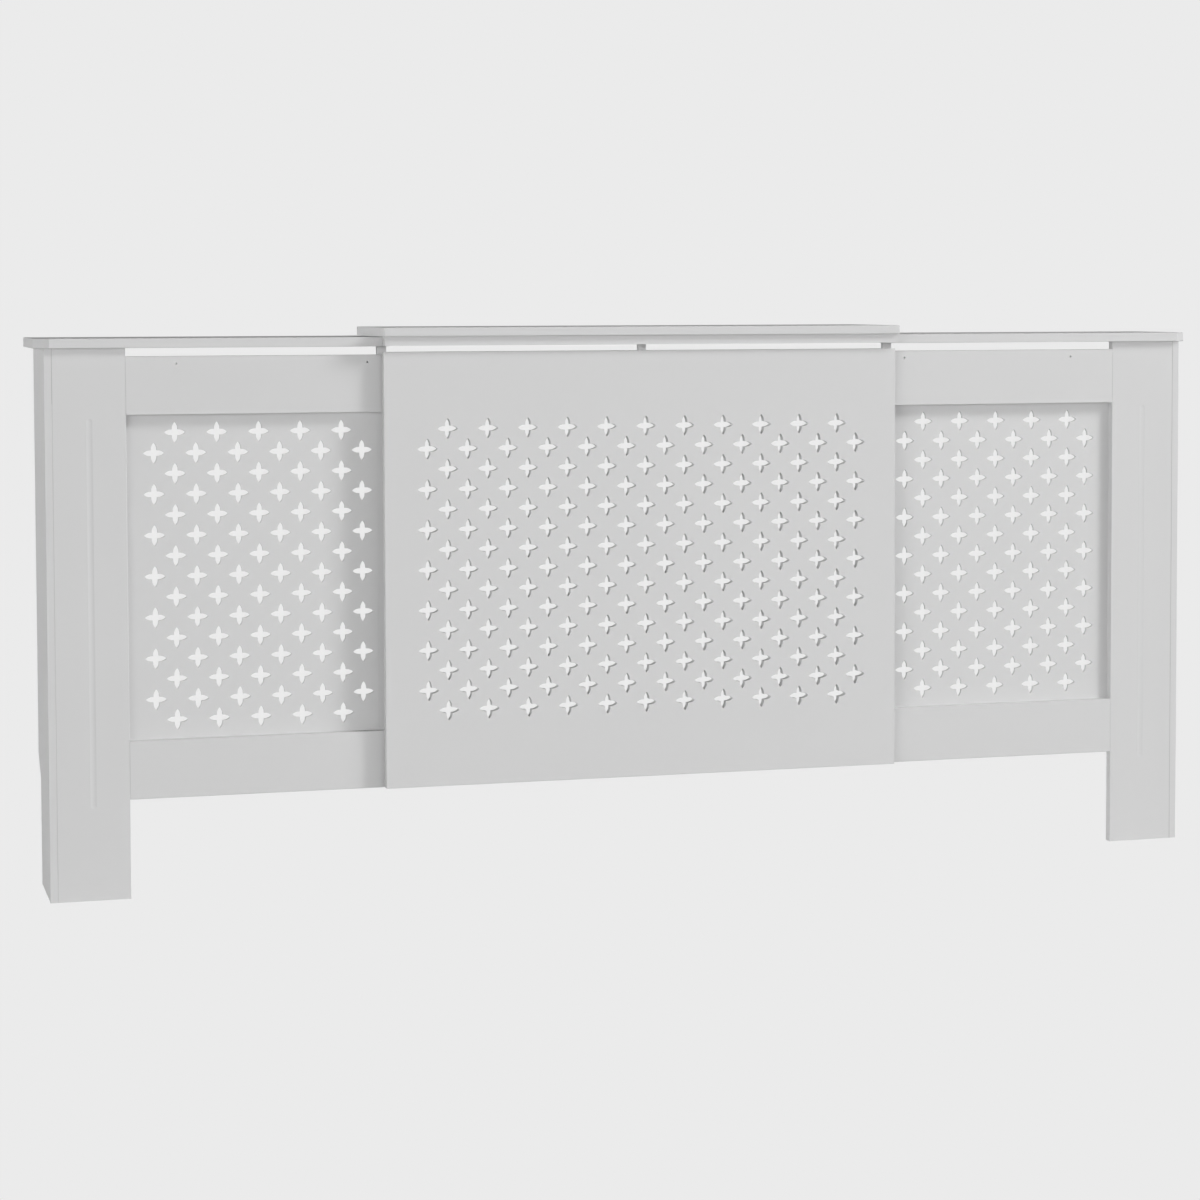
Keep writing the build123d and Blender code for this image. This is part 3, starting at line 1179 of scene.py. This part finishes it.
@dataclass(frozen=True)
class Lamp:
    """A round soft lamp that lights near and far boards alike."""

    name: str
    place: tuple[float, float, float]
    width: float
    power: float
    aim: tuple[float, float, float] = (0.0, 0.0, 0.5)

    def hang(self) -> None:
        """Hangs the lamp, turned to the cover."""
        data = bpy.data.lights.new(self.name, "AREA")
        data.shape = "DISK"
        data.size = self.width
        data.energy = self.power
        data.use_nodes = True
        board = Board(data.node_tree)
        even = board.node("ShaderNodeLightFalloff", {}, {"Strength": 1.0}, "Constant")
        light = board.node("ShaderNodeEmission", {}, {"Strength": even})
        board.node("ShaderNodeOutputLight", {}, {"Surface": light})
        lamp = bpy.data.objects.new(self.name, data)
        heading = Vector(self.aim) - Vector(self.place)
        turn = heading.to_track_quat("-Z", "Y").to_matrix().to_4x4()
        lamp.matrix_world = Matrix.Translation(self.place) @ turn
        bpy.context.scene.collection.objects.link(lamp)


@dataclass(frozen=True)
class Studio:
    """A plain pale floor, soft patches of light low round the cover, a key and a fill lamp."""

    backdrop: float = 0.8308  # linear value of the plain background
    floor_tone: float = 0.45  # how much light the floor throws back at the cover
    floor_size: float = 170.0
    floor_drop: float = 0.5 * MM
    floor_tiles: int = 8
    band_height: float = 0.26  # sine of the height at which the patches have faded out
    band_base: float = 6.1  # strength of the band where no patch adds to it
    band_fade: float = 1.5  # the higher, the sooner the band fades with height
    glows: tuple[Glow, ...] = (
        Glow(heading=180.0, strength=4.0, sharpness=6.0),
        Glow(heading=90.0, strength=4.0, sharpness=6.0),
        Glow(heading=315.0, strength=1.4, sharpness=6.0),
    )
    key: Lamp = Lamp("key_lamp", (2.4, -1.375, 2.54), 0.85, 6.6)
    fill: Lamp = Lamp("fill_lamp", (-3.0, -3.2, 1.3), 2.2, 1.7)

    camera_place: Vector = field(default_factory=lambda: Vector((-1.22364, -4.30304, 0.86725)))
    camera_azimuth: float = math.radians(16.0905)
    camera_drop: float = math.radians(3.0009)
    camera_roll: float = math.radians(-0.1335)
    sensor_width: float = 36.0
    picture_size: float = 1200.0
    focal_pixels: float = 2893.41
    centre_column: float = 640.0  # pixel column that the camera's axis meets
    centre_row: float = 453.952  # pixel row that it meets
    view_distance: float = 300.0

    def build(self) -> None:
        """Sets the stage, the lights, the camera and the view."""
        self._floor()
        self._world()
        for lamp in (self.key, self.fill):
            lamp.hang()
        self._camera()
        bpy.context.scene.view_settings.view_transform = "Standard"

    def _floor(self) -> None:
        """Lays the floor, which shows the plain background and throws some light back."""
        bm = bmesh.new()
        tiles, size = self.floor_tiles, self.floor_size / 2.0
        bmesh.ops.create_grid(bm, x_segments=tiles, y_segments=tiles, size=size)
        bmesh.ops.translate(bm, vec=(0.0, 0.0, -self.floor_drop), verts=bm.verts)
        mesh = bpy.data.meshes.new("studio_floor")
        bm.to_mesh(mesh)
        bm.free()
        material, board = new_material("studio_floor")
        diffuse = board.node("ShaderNodeBsdfDiffuse", {}, {"Color": grey(self.floor_tone)})
        seen = {"Color": grey(self.backdrop), "Strength": 1.0}
        plain = board.node("ShaderNodeEmission", {}, seen)
        board.surface(
            board.node("ShaderNodeMixShader", {}, {0: seeing_share(board), 1: diffuse, 2: plain})
        )
        mesh.materials.append(material)
        floor = bpy.data.objects.new("studio_floor", mesh)
        bpy.context.scene.collection.objects.link(floor)

    def _world(self) -> None:
        """Lights the cover from patches round the horizon, and shows a plain background."""
        world = bpy.data.worlds.new("studio_light")
        world.use_nodes = True
        bpy.context.scene.world = world
        board = Board(world.node_tree)
        direction = board.node("ShaderNodeTexCoord", {}, {}, "Generated")
        height = board.node("ShaderNodeSeparateXYZ", {}, {"Vector": direction}, "Z")
        band = (1.0 - abs(height) / self.band_height).at_least(0.0) ** self.band_fade
        strength = self.band_base
        for glow in self.glows:
            strength = strength + glow.add(board, direction)
        light = board.node(
            "ShaderNodeBackground", {}, {"Color": grey(1.0), "Strength": band * strength}
        )
        plain = board.node(
            "ShaderNodeBackground", {}, {"Color": grey(self.backdrop), "Strength": 1.0}
        )
        mixed = board.node("ShaderNodeMixShader", {}, {0: seeing_share(board), 1: light, 2: plain})
        board.node("ShaderNodeOutputWorld", {}, {"Surface": mixed})

    def _camera(self) -> None:
        """Sets up the camera where the picture was taken."""
        azimuth, drop, roll = self.camera_azimuth, self.camera_drop, self.camera_roll
        ahead = Vector(
            (
                math.sin(azimuth) * math.cos(drop),
                math.cos(azimuth) * math.cos(drop),
                -math.sin(drop),
            )
        )
        level_right = Vector((math.cos(azimuth), -math.sin(azimuth), 0.0))
        level_up = level_right.cross(ahead)
        right = level_right * math.cos(roll) + level_up * math.sin(roll)
        up = level_up * math.cos(roll) - level_right * math.sin(roll)
        data = bpy.data.cameras.new("camera")
        data.sensor_width = self.sensor_width
        data.lens = self.focal_pixels / self.picture_size * self.sensor_width
        data.shift_x = (self.picture_size / 2.0 - self.centre_column) / self.picture_size
        data.shift_y = (self.centre_row - self.picture_size / 2.0) / self.picture_size
        data.clip_end = self.view_distance
        camera = bpy.data.objects.new("camera", data)
        turn = Matrix((right, up, -ahead)).transposed().to_4x4()
        camera.matrix_world = Matrix.Translation(self.camera_place) @ turn
        bpy.context.scene.collection.objects.link(camera)
        bpy.context.scene.camera = camera


def seeing_share(board: Board) -> Signal:
    """Tells rays that see the background from rays that carry its light.

    Args:
        board: The board of the floor or the world.

    Returns:
        1 for the first and 0 for the second.
    """
    rays = ("Is Camera Ray", "Is Glossy Ray", "Is Transmission Ray")
    first, *rest = (board.node("ShaderNodeLightPath", {}, {}, ray) for ray in rays)
    for ray in rest:
        first = first + ray
    return first.at_most(1.0)


# --- Putting it together --------------------------------------------------------------------------


@dataclass(frozen=True)
class LegJoints:
    """How much painted shade lies in the joints round one leg: the share of the paint's tone that
    each takes away.
    """

    side: Side
    panel: float  # with the side panel
    top: float  # on top of that, in the upper part of the same joint
    rail: float  # with each rail

    def seams(self) -> list[Seam]:
        """Places the painted shade in the joints.

        Returns:
            One shaded line for each, and one more where the upper part is painted darker still.
        """
        low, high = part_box(f"{self.side.word}_leg")
        outer, inner = (low.x, high.x) if self.side is Side.LEFT else (high.x, low.x)
        seams = [Seam(outer, low.z, high.z, low.y, self.panel)]
        if self.top:
            # painted shade: a second, deeper line over the top part of the outer joint
            seams.append(Seam(outer, high.z - JOINT_SHADE_TOP, high.z, low.y, self.top))
        for rail in ("top_rail", "bottom_rail"):
            rail_low, rail_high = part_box(f"{self.side.word}_{rail}")
            seams.append(Seam(inner, rail_low.z, rail_high.z, low.y, self.rail))
        return seams


def find_joint_shades() -> tuple[Seam, ...]:
    """Places the painted shade in the joints of the legs with the side panels and the rails.

    Returns:
        The shaded line of each joint, left leg first.
    """
    # painted shade: how much of the paint's tone each joint line takes away
    left = LegJoints(Side.LEFT, panel=0.20, top=0.25, rail=0.15)
    right = LegJoints(Side.RIGHT, panel=0.34, top=0.0, rail=0.05)
    return tuple(left.seams() + right.seams())


def build_finishes() -> dict[Slot, bpy.types.Material]:
    """Builds the material of each slot.

    Returns:
        The materials, by slot.
    """
    makers: dict[Slot, Callable[[], bpy.types.Material]] = {
        Slot.PAINT: SatinPaint(seams=find_joint_shades()).build,
        Slot.STEEL: ZincSteel().build,
        Slot.FELT: PressedFelt().build,
        Slot.BEECH: BeechWood().build,
    }
    return {slot: make() for slot, make in makers.items()}


def dress_nodes(frame: dict[str, Any], finishes: dict[Slot, bpy.types.Material]) -> None:
    """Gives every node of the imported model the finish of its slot.

    Args:
        finishes: The material of each slot.
    """
    for part in frame["record"]["subparts"]:
        piece = frame["nodes"][part["node"]]
        piece.data.materials.clear()
        piece.data.materials.append(finishes[Slot(part["material_slot"])])
        log.info("%s: dressed in %s", part["node"], part["material_slot"])


def main() -> None:
    """Builds the dressed cover and its studio."""
    logging.basicConfig(level=logging.INFO, format="%(name)s: %(message)s")
    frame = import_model()
    finishes = build_finishes()
    dress_nodes(frame, finishes)
    made = CentreSection().build(finishes)
    for side in Side:
        made += SideUnit(side).build(finishes)
    log.info("%d pieces made", len(made))
    Studio().build()


if __name__ == "__main__":
    main()
